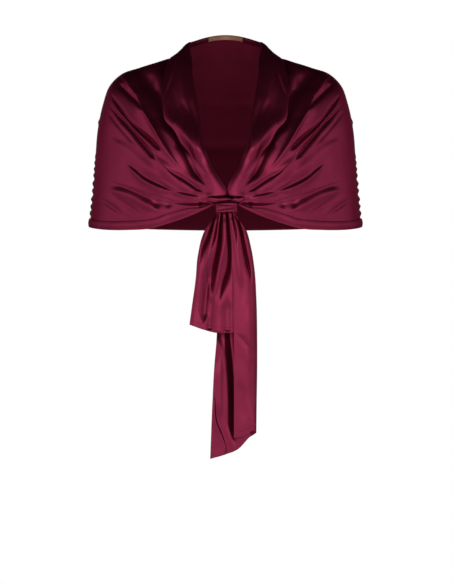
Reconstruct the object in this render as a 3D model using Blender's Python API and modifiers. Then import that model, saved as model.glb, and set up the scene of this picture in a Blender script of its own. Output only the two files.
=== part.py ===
"""Evening stole: a satin shoulder wrap with a soft turned collar, gathered and tied at the centre front.

It stands hollow, as worn. Metres, +Z up, the front faces -Y, and +X is the wearer's left.
The origin is between the shoulders, at the height where the neck meets them.
"""

import math
from collections import namedtuple

import bpy
import numpy as np

# Cloth
CLOTH = 0.0015  # wall of the satin
SEAM_GAP = 0.0003  # each wall stops this far from its seam line
SEAT = 0.0027  # a piece laid on a panel, middle of wall to middle of wall
LABEL_CLOTH = 0.0008
LABEL_GAP = 0.0006

# Driving sizes of the finished garment
COLLAR_PUFF = 0.007  # how far the turned collar rolls up off its panel where it is this wide
COLLAR_FULL_WIDTH = 0.040
BACK_HEM_Z = -0.3060
SIDE_HEM_Z = -0.3005
LABEL_WIDTH = 0.064
LABEL_HEIGHT = 0.009
STEP = 1e-4  # share of a panel used to find its normal
HALVINGS = 40
MEASURED_SHARES = np.linspace(0, 0.7, 71)  # where a panel's width is measured, from one edge
FOLD_FADE = 0.22  # share of the way out over which a fold rises or dies away

# The worn form, as rings from the neck edge down. A ring has its own height at the side, front and back.
Section = namedtuple("Section", "name half_width side_z front_z back_z front_depth back_depth")
SECTIONS = (
    Section("neck edge", 0.0620, 0.018, -0.012, 0.0365, 0.050, 0.058),
    Section("neck foot", 0.0740, 0.001, -0.034, 0.0040, 0.064, 0.072),
    Section("inner shoulder", 0.1080, -0.011, -0.056, -0.0250, 0.083, 0.095),
    Section("mid shoulder", 0.1500, -0.024, -0.082, -0.0550, 0.100, 0.110),
    Section("outer shoulder", 0.1820, -0.036, -0.104, -0.0830, 0.112, 0.118),
    Section("shoulder tip", 0.2020, -0.056, -0.126, -0.1080, 0.121, 0.123),
    Section("upper arm", 0.2140, -0.088, -0.150, -0.1380, 0.128, 0.126),
    Section("armpit", 0.2225, -0.130, -0.178, -0.1720, 0.134, 0.127),
    Section("chest", 0.2265, -0.180, -0.212, -0.2100, 0.138, 0.125),
    Section("elbow", 0.2320, -0.242, -0.256, -0.2540, 0.138, 0.121),
    Section("hem", 0.2365, -0.296, -0.300, -0.3020, 0.135, 0.117),
    Section("below hem", 0.2380, -0.330, -0.334, -0.3360, 0.132, 0.114),
)

# Edges of the left front, seen from the front: distance out from the centre, and height.
EdgePoint = namedtuple("EdgePoint", "name out z")
NECK_EDGE = (
    EdgePoint("knot", 0.0017, -0.2475),
    EdgePoint("above knot", 0.0093, -0.2355),
    EdgePoint("lower opening", 0.0229, -0.2099),
    EdgePoint("breast", 0.0348, -0.1756),
    EdgePoint("upper breast", 0.0451, -0.1238),
    EdgePoint("under collar bone", 0.0513, -0.0885),
    EdgePoint("collar bone", 0.0575, -0.0525),
    EdgePoint("side of neck", 0.0597, -0.0151),
)
HEM_EDGE = (
    EdgePoint("knot", 0.0208, -0.2682),
    EdgePoint("beside knot", 0.0292, -0.2725),
    EdgePoint("inner breast", 0.0600, -0.2858),
    EdgePoint("under breast", 0.1025, -0.3000),
    EdgePoint("inner arm", 0.1282, -0.3068),
    EdgePoint("arm front", 0.1634, -0.3088),
    EdgePoint("outer arm", 0.1991, -0.3082),
)
# Where the gathered edge of a front ends at the knot. down is the share of the panel, neck edge to hem.
GatherPoint = namedtuple("GatherPoint", "name down out z")
GATHER_EDGE = (
    GatherPoint("neck edge", 0.00, 0.0017, -0.2475),
    GatherPoint("slit inner end", 0.14, 0.0030, -0.2538),
    GatherPoint("slit middle", 0.38, 0.0155, -0.2560),
    GatherPoint("slit outer end", 0.62, 0.0300, -0.2572),
    GatherPoint("pinch", 0.82, 0.0312, -0.2660),
    GatherPoint("hem edge", 1.00, 0.0208, -0.2682),
)

# The folds are lines across a panel's field, which is what the collar and the hem band leave uncovered.
# at_knot, at_seam and at_centre are shares down the field, and a fold's height is measured off the form.
# It shows from starts to ends, as shares of the way out from the knot or from a side seam.
Fold = namedtuple("Fold", "name at_knot at_seam starts ends height")
FRONT_FOLDS = (
    Fold("collar edge", 0.00, 0.00, 0.00, 1.00, 0.0),
    Fold("collar valley", 0.07, 0.06, 0.02, 0.85, -0.0035),
    Fold("shoulder ridge", 0.17, 0.14, 0.05, 0.90, 0.0040),
    Fold("shoulder valley", 0.25, 0.21, 0.12, 0.92, -0.0085),
    Fold("long ridge", 0.34, 0.28, 0.04, 0.88, 0.0065),
    Fold("arm valley", 0.42, 0.36, 0.22, 0.94, -0.0065),
    Fold("arm ridge", 0.49, 0.42, 0.08, 0.90, 0.0045),
    Fold("pinched valley", 0.56, 0.48, 0.30, 0.95, -0.0055),
    Fold("breast ridge", 0.64, 0.56, 0.03, 0.86, 0.0055),
    Fold("breast valley", 0.72, 0.65, 0.10, 0.80, -0.0045),
    Fold("lower ridge", 0.80, 0.74, 0.03, 0.76, 0.0045),
    Fold("hem valley", 0.88, 0.84, 0.04, 0.80, -0.0035),
    Fold("hem swell", 0.95, 0.93, 0.10, 0.80, 0.0015),
    Fold("hem band edge", 1.00, 1.00, 0.00, 1.00, 0.0),
)
BackFold = namedtuple("BackFold", "name at_seam at_centre starts ends height")
BACK_FOLDS = (
    BackFold("collar edge", 0.00, 0.00, 0.00, 1.00, 0.0),
    BackFold("shoulder flat", 0.17, 0.14, 0.00, 1.00, 0.0),
    BackFold("shoulder drape", 0.27, 0.30, 0.03, 1.00, 0.0040),
    BackFold("shoulder hollow", 0.36, 0.42, 0.05, 0.42, -0.0035),
    BackFold("blade drape", 0.46, 0.54, 0.03, 1.00, 0.0050),
    BackFold("blade hollow", 0.56, 0.65, 0.06, 0.40, -0.0035),
    BackFold("arm drape", 0.68, 0.76, 0.02, 1.00, 0.0040),
    BackFold("arm hollow", 0.80, 0.86, 0.05, 0.36, -0.0030),
    BackFold("hem", 1.00, 1.00, 0.00, 1.00, 0.0),
)
# Widths of the turned collar and of the hem band, along the edge they follow.
StripWidth = namedtuple("StripWidth", "name along width")
FRONT_COLLAR = (
    StripWidth("knot", 0.00, 0.034),
    StripWidth("above knot", 0.07, 0.026),
    StripWidth("lower opening", 0.165, 0.0265),
    StripWidth("under breast", 0.23, 0.0325),
    StripWidth("inner breast", 0.33, 0.0385),
    StripWidth("breast", 0.46, 0.058),
    StripWidth("upper breast", 0.55, 0.066),
    StripWidth("collar bone", 0.60, 0.072),
    StripWidth("top of chest", 0.675, 0.063),
    StripWidth("base of neck", 0.765, 0.055),
    StripWidth("side of neck", 0.88, 0.044),
    StripWidth("shoulder seam", 1.00, 0.029),
)
BACK_COLLAR = (
    StripWidth("left shoulder seam", 0.00, 0.029),
    StripWidth("left of nape", 0.25, 0.040),
    StripWidth("centre back", 0.50, 0.046),
    StripWidth("right of nape", 0.75, 0.040),
    StripWidth("right shoulder seam", 1.00, 0.029),
)
HEM_BAND = (
    StripWidth("knot", 0.00, 0.0030),
    StripWidth("beside knot", 0.055, 0.0045),
    StripWidth("inner breast", 0.14, 0.0095),
    StripWidth("under breast", 0.285, 0.0135),
    StripWidth("inner arm", 0.42, 0.0135),
    StripWidth("outer arm", 0.715, 0.0120),
    StripWidth("side seam", 1.00, 0.0120),
)

# The knot: a band round the gathered tails, and a rolled fold on each side that runs in behind it.
KNOT_CENTRE_X = 0.0010
KNOT_Y = -0.1500
KNOT_REACH = 0.0100  # how far the gathered fronts stand out from the form at the knot
KNOT_REACH_OUT = 0.32  # share of the way out over which they come back to it
BAND_HALF_DEPTH = 0.0098
BAND_SQUARENESS = 2.6
BandRow = namedtuple("BandRow", "name z half_width")
BAND = (
    BandRow("top", -0.2676, 0.0172),
    BandRow("waist", -0.2730, 0.0176),
    BandRow("lower", -0.2785, 0.0180),
    BandRow("bottom", -0.2836, 0.0183),
)
RollRow = namedtuple("RollRow", "name along radius")
ROLL = (
    RollRow("outer tip", 0.0, 0.0030),
    RollRow("outer third", 0.3, 0.0041),
    RollRow("middle", 0.6, 0.0039),
    RollRow("inner tip", 1.0, 0.0014),
)
ROLL_Y = -0.1465
ROLL_SPREAD = 215  # degrees of the roll's section that are cloth, open at the back
RollPath = namedtuple("RollPath", "name outer_x outer_z inner_x inner_z")
ROLL_PATHS = (
    RollPath("knot_fold_right", -0.0290, -0.2617, 0.0032, -0.2611),
    RollPath("knot_fold_left", 0.0290, -0.2614, 0.0105, -0.2634),
)

# The tails hang from inside the band.
TailRow = namedtuple("TailRow", "name z left right pleat")
SHORT_TAIL = (
    TailRow("in the band", -0.2710, -0.0135, 0.0050, 0.0008),
    TailRow("band foot", -0.2850, -0.0148, 0.0070, 0.0010),
    TailRow("shoulder", -0.3139, -0.0355, 0.0115, 0.0040),
    TailRow("upper", -0.3543, -0.0463, 0.0138, 0.0058),
    TailRow("middle", -0.3930, -0.0500, 0.0141, 0.0072),
    TailRow("lower", -0.4400, -0.0565, 0.0141, 0.0060),
    TailRow("hem", -0.4850, -0.0625, 0.0141, 0.0040),
)
# A pleat's line runs from at_band to at_hem, in shares of the tail's width; height is a share of its pleat.
Pleat = namedtuple("Pleat", "name at_band at_hem height")
SHORT_PLEATS = (
    Pleat("outer edge", 0.00, 0.00, 0.2),
    Pleat("outer ridge", 0.08, 0.10, 1.0),
    Pleat("outer hollow", 0.18, 0.21, -1.0),
    Pleat("second ridge", 0.31, 0.28, 0.8),
    Pleat("second slope", 0.46, 0.36, 0.3),
    Pleat("middle hollow", 0.60, 0.44, -1.0),
    Pleat("third ridge", 0.70, 0.58, 0.9),
    Pleat("inner hollow", 0.80, 0.74, -0.8),
    Pleat("inner ridge", 0.90, 0.88, 0.4),
    Pleat("inner edge", 1.00, 1.00, 0.0),
)
HemPoint = namedtuple("HemPoint", "name across z")
SHORT_HEM = (
    HemPoint("outer corner", 0.00, -0.4715),
    HemPoint("outer third", 0.35, -0.4805),
    HemPoint("middle", 0.60, -0.4850),
    HemPoint("inner corner", 1.00, -0.4850),
)
SHORT_TAIL_Y = -0.1532
# The long tail is one strip folded back behind itself: a front layer, a turn at its side, a back layer.
LongRow = namedtuple("LongRow", "name z free_edge front_turn back_turn back_edge front_y back_y")
LONG_TAIL = (
    LongRow("in the band", -0.2710, 0.0050, 0.0120, 0.0120, -0.0110, -0.1505, -0.1452),
    LongRow("band foot", -0.2845, 0.0060, 0.0124, 0.0124, -0.0112, -0.1505, -0.1450),
    LongRow("shoulder", -0.3095, 0.0085, 0.0284, 0.0270, -0.0135, -0.1503, -0.1385),
    LongRow("upper", -0.3390, 0.0100, 0.0363, 0.0345, -0.0135, -0.1503, -0.1365),
    LongRow("third", -0.3761, 0.0110, 0.0415, 0.0400, -0.0138, -0.1503, -0.1350),
    LongRow("middle", -0.4300, 0.0120, 0.0446, 0.0430, -0.0140, -0.1503, -0.1340),
    LongRow("lower", -0.4875, 0.0140, 0.0454, 0.0440, -0.0145, -0.1503, -0.1335),
    LongRow("calf", -0.5450, 0.0142, 0.0460, 0.0435, -0.0191, -0.1503, -0.1335),
    LongRow("foot", -0.6025, 0.0142, 0.0464, 0.0420, -0.0221, -0.1500, -0.1340),
    LongRow("hem", -0.6988, 0.0140, 0.0468, 0.0400, -0.0259, -0.1495, -0.1345),
)
LONG_HEM = (
    HemPoint("free edge", 0.00, -0.6624),
    HemPoint("front layer", 0.15, -0.6590),
    HemPoint("front turn", 0.27, -0.6505),
    HemPoint("back turn", 0.44, -0.6620),
    HemPoint("back layer", 0.58, -0.6800),
    HemPoint("back corner side", 0.80, -0.6920),
    HemPoint("back corner", 1.00, -0.6988),
)
FRONT_LAYER_SHARE = 0.27  # of the long tail's width, and the turn's share after it
TURN_SHARE = 0.17
BACK_LAYER_BELLY = 0.25  # how far the back layer swells, as a share of the turn's radius
BELLY_TOP = 0.33

# Faces along a panel, and across each piece
FRONT_FACES = 20
BACK_FACES = 26
COLLAR_FACES = 4
HEM_BAND_FACES = 2
LABEL_FACES = 6
TAIL_FACES = 24
LONG_TAIL_LINES = (0, 0.14, 0.27, 0.31, 0.355, 0.40, 0.44, 0.55, 0.66, 0.77, 0.88, 1)
BAND_GRID = (20, 3)
ROLL_GRID = (8, 6)
TAIL_EASE = 1.3

# Colours are linear RGB
Finish = namedtuple("Finish", "name colour roughness metallic")
SATIN = Finish("burgundy satin", (0.117, 0.012, 0.034), 0.38, 0.3)
LABEL_SATIN = Finish("copper satin", (0.42, 0.23, 0.13), 0.45, 0.3)


def column(rows, name):
    return np.array([getattr(row, name) for row in rows], float)


def curve_through(places, values, at):
    """Values read from a smooth curve through those given at rising places."""
    places, values = np.asarray(places, float), np.asarray(values, float)
    at = np.asarray(at, float)
    slopes = np.gradient(values, places)
    i = np.clip(np.searchsorted(places, at, side="right") - 1, 0, len(places) - 2)
    span = places[i + 1] - places[i]
    s = (at - places[i]) / span
    rise = s * s * (3 - 2 * s)
    return (
        (1 - rise) * values[i]
        + rise * values[i + 1]
        + span * (s * (1 - s) ** 2 * slopes[i] - s * s * (1 - s) * slopes[i + 1])
    )


def shares_along(points):
    """How far along a chain of points each one is, from 0 to 1."""
    steps = np.linalg.norm(np.diff(np.asarray(points, float), axis=0), axis=1)
    return np.concatenate([[0], np.cumsum(steps)]) / steps.sum()


SIDE_LINE = np.column_stack([column(SECTIONS, "half_width"), column(SECTIONS, "side_z")])
SECTION_AT = shares_along(SIDE_LINE)


def section(name, down):
    return curve_through(SECTION_AT, column(SECTIONS, name), down)


def on_form(around, down):
    """The worn form's point at an angle round it, in degrees from the centre front, and a share down it."""
    sine, cosine = np.sin(np.radians(around)), np.cos(np.radians(around))
    front = cosine > 0
    depth = np.where(front, section("front_depth", down), section("back_depth", down))
    centre_z = np.where(front, section("front_z", down), section("back_z", down))
    x = section("half_width", down) * sine
    z = section("side_z", down) * sine**2 + centre_z * cosine**2
    return np.stack([x, -depth * cosine, z], axis=-1)


def first_below(height_at, z):
    """The share down at which a falling height passes z, found by halving."""
    low, high = np.zeros_like(z), np.ones_like(z)
    for _ in range(HALVINGS):
        middle = (low + high) / 2
        below = height_at(middle) < z
        low, high = np.where(below, low, middle), np.where(below, middle, high)
    return (low + high) / 2


def front_spots(points):
    """Edge points as (around, down) on the form."""
    out, z = column(points, "out"), column(points, "z")

    def around(down):
        return np.degrees(np.arcsin(np.clip(out / section("half_width", down), 0, 1)))

    down = first_below(lambda share: on_form(around(share), share)[:, 2], z)
    return np.column_stack([around(down), down])


SEAM_HEM = float(first_below(lambda down: section("side_z", down), np.array(SIDE_HEM_Z)))


def edge_curve(spots, at):
    """An edge's (around, down) at shares of its length."""
    places = shares_along(on_form(spots[:, 0], spots[:, 1]))
    return np.stack([curve_through(places, spots[:, k], at) for k in (0, 1)], axis=-1)


NECK_SPOTS = np.vstack([front_spots(NECK_EDGE), [90, 0]])
HEM_SPOTS = np.vstack([front_spots(HEM_EDGE), [90, SEAM_HEM]])
GATHER_SPOTS = front_spots(GATHER_EDGE)


def smooth_step(share):
    share = np.clip(share, 0, 1)
    return share * share * (3 - 2 * share)


def front_spot(out, down):
    """Where a front's point lies on the form: out from the knot to the seam, down from neck edge to hem."""
    knot = np.stack(
        [curve_through(column(GATHER_EDGE, "down"), GATHER_SPOTS[:, k], down) for k in (0, 1)], axis=-1
    )
    seam = np.stack([np.full_like(down, 90.0), SEAM_HEM * down], axis=-1)
    neck, hem = edge_curve(NECK_SPOTS, out), edge_curve(HEM_SPOTS, out)
    out, down = out[..., None], down[..., None]
    corners = (
        (1 - out) * (1 - down) * NECK_SPOTS[0]
        + out * (1 - down) * NECK_SPOTS[-1]
        + (1 - out) * down * HEM_SPOTS[0]
        + out * down * HEM_SPOTS[-1]
    )
    return (1 - down) * neck + down * hem + (1 - out) * knot + out * seam - corners


def front_form(out, down):
    spot = front_spot(out, down)
    points = on_form(spot[..., 0], spot[..., 1])
    points[..., 1] -= SEAM_GAP * smooth_step(out) + KNOT_REACH * (1 - smooth_step(out / KNOT_REACH_OUT))
    return points


def back_form(across, down):
    """The back, from the left seam at across 0 to the right seam at across 1."""
    around = 90 + 180 * across
    side = np.abs(np.sin(np.radians(around)))
    hem_z = SIDE_HEM_Z * side**2 + BACK_HEM_Z * (1 - side**2)
    hem = first_below(lambda share: on_form(around, share)[..., 2], hem_z)
    points = on_form(around, hem * down)
    points[..., 1] += SEAM_GAP * side
    return points


def raised(form, along, down, height):
    """A form's points moved away from the wearer."""
    ahead, behind = np.clip(along + STEP, 0, 1), np.clip(along - STEP, 0, 1)
    lower, upper = np.clip(down + STEP, 0, 1), np.clip(down - STEP, 0, 1)
    normal = np.cross(form(along, lower) - form(along, upper), form(ahead, down) - form(behind, down))
    normal /= np.linalg.norm(normal, axis=-1, keepdims=True)
    return form(along, down) + normal * height[..., None]


def down_at_width(form, along, width, from_hem=False):
    """The shares down at which a panel is that wide, measured from its neck edge or from its hem."""
    down = 1 - MEASURED_SHARES if from_hem else MEASURED_SHARES
    found = np.empty_like(width)
    for i, place in enumerate(along):
        line = form(np.full_like(down, place), down)
        found[i] = np.interp(width[i], shares_along(line) * length_of(line), down)
    return found


def length_of(line):
    return np.linalg.norm(np.diff(line, axis=0), axis=1).sum()


def panel(form, along, collar, folds, hem_band=None):
    """A panel's rows: (share down, height off the form) at each place along it. The collar's rows come
    first, then a row to each fold, then the hem band's rows."""
    collar_width = curve_through(column(collar, "along"), column(collar, "width"), along)
    shares = np.linspace(0, 1, COLLAR_FACES + 1)[:, None]
    collar_rows = np.array([down_at_width(form, along, width) for width in shares * collar_width])
    hem_rows = np.ones((1, len(along)))
    if hem_band:
        hem_width = curve_through(column(hem_band, "along"), column(hem_band, "width"), along)
        shares = np.linspace(1, 0, HEM_BAND_FACES + 1)[:, None]
        hem_rows = np.array([down_at_width(form, along, width, from_hem=True) for width in shares * hem_width])
    fold_rows = collar_rows[-1] + (hem_rows[0] - collar_rows[-1]) * folds[0][1:-1]
    down = np.vstack([collar_rows, fold_rows, hem_rows])
    height = np.zeros_like(down)
    height[len(collar_rows) : -len(hem_rows)] = folds[1][1:-1]
    return down, height


def front_folds(out):
    """Shares down the field, and heights, of a front's folds."""
    line = np.array([fold.at_knot + (fold.at_seam - fold.at_knot) * out for fold in FRONT_FOLDS])
    return line, np.array([fold.height * fading(fold, out) for fold in FRONT_FOLDS])


def back_folds(across):
    """The same folds hang on both sides of the centre back, lowest at the centre."""
    inward = 0.5 - np.abs(across - 0.5)
    sag = np.sin(math.pi * inward)
    line = np.array([fold.at_seam + (fold.at_centre - fold.at_seam) * sag for fold in BACK_FOLDS])
    return line, np.array([fold.height * fading(fold, inward) for fold in BACK_FOLDS])


def fading(fold, share):
    return smooth_step((share - fold.starts) / FOLD_FADE) * smooth_step((fold.ends - share) / FOLD_FADE)


def laid_on(form, along, down, lift):
    return raised(form, np.broadcast_to(along[:, None], down.shape), down, lift)


def collar_points(form, along, down):
    """The turned collar, from the rows of the panel under it, rolled up between its edges."""
    rows = down[: COLLAR_FACES + 1].T
    across = np.broadcast_to(np.linspace(0, 1, COLLAR_FACES + 1), rows.shape)
    fullness = np.minimum(1, length_at(form, along, rows) / COLLAR_FULL_WIDTH)[:, None]
    return laid_on(form, along, rows, SEAT + COLLAR_PUFF * fullness * np.sin(math.pi * across))


def length_at(form, along, rows):
    """How wide each line of rows is."""
    return np.array([length_of(form(np.full_like(row, at), row)) for at, row in zip(along, rows)])


def label_points():
    """The label lies inside the back of the neck, at its edge."""
    from_centre = np.linspace(-0.5, 0.5, LABEL_FACES + 1) * LABEL_WIDTH
    across = 0.5 + np.degrees(np.arcsin(from_centre / SECTIONS[0].half_width)) / 180
    foot = down_at_width(back_form, across, np.full_like(across, LABEL_HEIGHT))
    down = np.column_stack([np.zeros_like(foot), foot])
    inside = -(CLOTH + LABEL_CLOTH) / 2 - LABEL_GAP
    return laid_on(back_form, across, down, np.full_like(down, inside))


def grid(faces_along, faces_across):
    return np.meshgrid(
        np.linspace(0, 1, faces_along + 1), np.linspace(0, 1, faces_across + 1), indexing="ij"
    )


def tail_grid(faces, across, top, hem):
    """Shares across and down a tail, and its heights from its top to its own hem line. Its rows are
    closest in the band."""
    down, across = np.meshgrid(np.linspace(0, 1, faces + 1) ** TAIL_EASE, across, indexing="ij")
    foot = curve_through(column(hem, "across"), column(hem, "z"), across)
    return across, down, top + (foot - top) * down


def short_tail_points():
    across = np.linspace(0, 1, len(SHORT_PLEATS))
    share, down, z = tail_grid(TAIL_FACES, across, SHORT_TAIL[0].z, SHORT_HEM)
    settled = 1 - (1 - down) ** 2  # a pleat swings most just under the band
    pleats = [curve_through(across, column(SHORT_PLEATS, name), share) for name in Pleat._fields[1:]]
    at_band, at_hem, height = pleats
    line = at_band + (at_hem - at_band) * settled
    fall = -column(SHORT_TAIL, "z")
    left, right, depth = (curve_through(fall, column(SHORT_TAIL, k), -z) for k in ("left", "right", "pleat"))
    return np.stack([left + (right - left) * line, SHORT_TAIL_Y - depth * height, z], axis=-1)


def long_tail_points():
    across, down, z = tail_grid(TAIL_FACES, np.array(LONG_TAIL_LINES), LONG_TAIL[0].z, LONG_HEM)
    fall = -column(LONG_TAIL, "z")
    free_edge, front_turn, back_turn, back_edge, front_y, back_y = (
        curve_through(fall, column(LONG_TAIL, k), -z)
        for k in ("free_edge", "front_turn", "back_turn", "back_edge", "front_y", "back_y")
    )
    turn_end = FRONT_LAYER_SHARE + TURN_SHARE
    on_front = np.clip(across / FRONT_LAYER_SHARE, 0, 1)
    on_turn = np.clip((across - FRONT_LAYER_SHARE) / TURN_SHARE, 0, 1)
    on_back = np.clip((across - turn_end) / (1 - turn_end), 0, 1)
    radius = (back_y - front_y) / 2
    x = free_edge + (front_turn - free_edge) * on_front
    x = x + (back_turn - front_turn) * on_turn + radius * np.sin(math.pi * on_turn)
    x = x + (back_edge - back_turn) * on_back
    y = front_y + radius * (1 - np.cos(math.pi * on_turn))
    y -= BACK_LAYER_BELLY * radius * np.sin(2 * math.pi * on_back) * smooth_step(down / BELLY_TOP)
    return np.stack([x, y, z], axis=-1)


def roll_points(path):
    """A knot fold: a part-round roll, widest near its outer tip."""
    along, turn = grid(*ROLL_GRID)
    radius = curve_through(column(ROLL, "along"), column(ROLL, "radius"), along)
    angle = np.radians((turn - 0.5) * ROLL_SPREAD)
    x = path.outer_x + (path.inner_x - path.outer_x) * along
    z = path.outer_z + (path.inner_z - path.outer_z) * along
    return np.stack([x, ROLL_Y - radius * np.cos(angle), z + radius * np.sin(angle)], axis=-1)


def band_points():
    turn, down = grid(*BAND_GRID)
    angle = np.radians(360 * turn)
    rows = np.linspace(0, 1, len(BAND))
    half_width, z = (curve_through(rows, column(BAND, k), down) for k in ("half_width", "z"))
    x, y = np.sin(angle), -np.cos(angle)
    squared = (np.abs(x) ** BAND_SQUARENESS + np.abs(y) ** BAND_SQUARENESS) ** (-1 / BAND_SQUARENESS)
    return np.stack(
        [KNOT_CENTRE_X + half_width * x * squared, KNOT_Y + BAND_HALF_DEPTH * y * squared, z], axis=-1
    )


def mirrored(points):
    return points * [-1, 1, 1]


def new_material(name, finish):
    material = bpy.data.materials.new(name)
    material.use_nodes = True
    shader = material.node_tree.nodes["Principled BSDF"]
    shader.inputs["Base Color"].default_value = (*finish.colour, 1)
    shader.inputs["Roughness"].default_value = finish.roughness
    shader.inputs["Metallic"].default_value = finish.metallic
    return material


def cloth(name, points, finish=SATIN, wall=CLOTH, closed=False):
    """A walled cloth object from a grid of points on the middle of its wall."""
    if closed:
        points = points[:-1]  # the last line of points is the first one again
    along, across = points.shape[:2]
    corners = []
    for i in range(along if closed else along - 1):
        for j in range(across - 1):
            here, beyond = i * across + j, (i + 1) % along * across + j
            corners.append((here, beyond, beyond + 1, here + 1))
    mesh = bpy.data.meshes.new(name)
    mesh.from_pydata(points.reshape(-1, 3).tolist(), [], corners)
    mesh.materials.append(new_material(f"{name} {finish.name}", finish))
    mesh.shade_smooth()
    thing = bpy.data.objects.new(name, mesh)
    stole.objects.link(thing)
    solidify = thing.modifiers.new("wall", "SOLIDIFY")
    solidify.thickness = wall
    solidify.offset = 0
    solidify.use_even_offset = True


for leftover in list(bpy.data.objects):
    bpy.data.objects.remove(leftover)
stole = bpy.data.collections.new("evening stole")
bpy.context.scene.collection.children.link(stole)

out = np.linspace(0, 1, FRONT_FACES + 1)
down, height = panel(front_form, out, FRONT_COLLAR, front_folds(out), HEM_BAND)
front = laid_on(front_form, out, down.T, height.T)
collar = collar_points(front_form, out, down)
hem_rows = down[-1 - HEM_BAND_FACES :].T
hem_band = laid_on(front_form, out, hem_rows, np.full_like(hem_rows, SEAT))
for side, turned in (("left", lambda points: points), ("right", mirrored)):
    cloth(f"front_{side}", turned(front))
    cloth(f"collar_{side}", turned(collar))
    cloth(f"hem_band_{side}", turned(hem_band))

across = np.linspace(0, 1, BACK_FACES + 1)
down, height = panel(back_form, across, BACK_COLLAR, back_folds(across))
cloth("back", laid_on(back_form, across, down.T, height.T))
cloth("collar_back", collar_points(back_form, across, down))
cloth("neck_label", label_points(), LABEL_SATIN, LABEL_CLOTH)

for path in ROLL_PATHS:
    cloth(path.name, roll_points(path))
cloth("knot_band", band_points(), closed=True)
cloth("tail_short", short_tail_points())
cloth("tail_long", long_tail_points())
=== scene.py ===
# Evening stole in woven burgundy satin: a shoulder wrap with a soft turned collar, knotted at the front
# Metres, +Z up, the front faces -Y and +X is the wearer's left. The origin is between the shoulders.
import math

import bpy
import numpy as np
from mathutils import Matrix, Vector


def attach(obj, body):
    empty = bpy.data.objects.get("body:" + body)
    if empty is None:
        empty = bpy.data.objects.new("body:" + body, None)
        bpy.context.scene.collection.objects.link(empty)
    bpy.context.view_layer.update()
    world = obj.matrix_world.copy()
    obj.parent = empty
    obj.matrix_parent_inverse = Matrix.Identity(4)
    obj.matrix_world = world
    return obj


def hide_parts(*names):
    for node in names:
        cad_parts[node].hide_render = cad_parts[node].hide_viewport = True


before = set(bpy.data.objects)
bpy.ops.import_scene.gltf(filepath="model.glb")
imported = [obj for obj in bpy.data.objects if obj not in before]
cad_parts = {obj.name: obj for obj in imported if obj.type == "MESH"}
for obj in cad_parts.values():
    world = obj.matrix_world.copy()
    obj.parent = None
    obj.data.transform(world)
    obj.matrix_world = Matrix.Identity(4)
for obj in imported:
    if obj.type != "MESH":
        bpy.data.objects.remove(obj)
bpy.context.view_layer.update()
print("frame loaded")

mm = 0.001

# The worn form as rings, from the neck edge down.
# Each ring: half width, height at the side, front and back, then how deep it is to the front and to the back.
formRings = {
    "neck edge": (0.0620, 0.018, -0.012, 0.0365, 0.050, 0.058),
    "neck foot": (0.0740, 0.001, -0.034, 0.0040, 0.064, 0.072),
    "inner shoulder": (0.1080, -0.011, -0.056, -0.0250, 0.083, 0.095),
    "mid shoulder": (0.1500, -0.024, -0.082, -0.0550, 0.100, 0.110),
    "outer shoulder": (0.1820, -0.036, -0.104, -0.0830, 0.112, 0.118),
    "shoulder tip": (0.2020, -0.056, -0.126, -0.1080, 0.121, 0.123),
    "upper arm": (0.2140, -0.088, -0.150, -0.1380, 0.128, 0.126),
    "armpit": (0.2225, -0.130, -0.178, -0.1720, 0.134, 0.127),
    "chest": (0.2265, -0.180, -0.212, -0.2100, 0.138, 0.125),
    "elbow": (0.2320, -0.242, -0.256, -0.2540, 0.138, 0.121),
    "hem": (0.2365, -0.296, -0.300, -0.3020, 0.135, 0.117),
    "below hem": (0.2380, -0.330, -0.334, -0.3360, 0.132, 0.114),
}
ringColumns = ("halfWidth", "sideZ", "frontZ", "backZ", "frontDepth", "backDepth")
ringTable = np.array(list(formRings.values()))
sideHemZ = -0.3005
backHemZ = -0.3060

# Edges of the left front as seen from the front: distance out from the centre, and height.
neckEdge = (
    (0.0017, -0.2475),
    (0.0093, -0.2355),
    (0.0229, -0.2099),
    (0.0348, -0.1756),
    (0.0451, -0.1238),
    (0.0513, -0.0885),
    (0.0575, -0.0525),
    (0.0597, -0.0151),
)
hemEdge = (
    (0.0208, -0.2682),
    (0.0292, -0.2725),
    (0.0600, -0.2858),
    (0.1025, -0.3000),
    (0.1282, -0.3068),
    (0.1634, -0.3088),
    (0.1991, -0.3082),
)
gatherShares = (0.00, 0.14, 0.38, 0.62, 0.82, 1.00)  # of the way from neck edge to hem, at the knot
gatherEdge = (
    (0.0017, -0.2475),
    (0.0046, -0.2510),
    (0.0155, -0.2543),
    (0.0305, -0.2560),
    (0.0316, -0.2660),
    (0.0208, -0.2682),
)
knotReach = 0.0100  # how far the gathered fronts stand out from the form at the knot
knotReachOut = 0.32


def curveThrough(places, values, at):
    # a smooth curve through the given values
    places = np.asarray(places, float)
    values = np.asarray(values, float)
    at = np.asarray(at, float)
    slopes = np.gradient(values, places)
    i = np.clip(np.searchsorted(places, at, side="right") - 1, 0, len(places) - 2)
    span = places[i + 1] - places[i]
    s = (at - places[i]) / span
    rise = s * s * (3 - 2 * s)
    bend = span * (s * (1 - s) ** 2 * slopes[i] - s * s * (1 - s) * slopes[i + 1])
    return (1 - rise) * values[i] + rise * values[i + 1] + bend


def smoothStep(share):
    share = np.clip(share, 0, 1)
    return share * share * (3 - 2 * share)


def sharesAlong(points):
    steps = np.linalg.norm(np.diff(np.asarray(points, float), axis=0), axis=1)
    return np.concatenate([[0], np.cumsum(steps)]) / steps.sum()


def unit(vectors):
    return vectors / np.maximum(np.linalg.norm(vectors, axis=-1, keepdims=True), 1e-12)


def walked(points):
    # metres from the first point to each one, or from the first line of a grid to each line
    steps = np.linalg.norm(np.diff(points, axis=0), axis=-1)
    return np.concatenate([np.zeros_like(steps[:1]), np.cumsum(steps, axis=0)])


def evenShares(faces):
    return np.linspace(0, 1, faces + 1)


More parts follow.
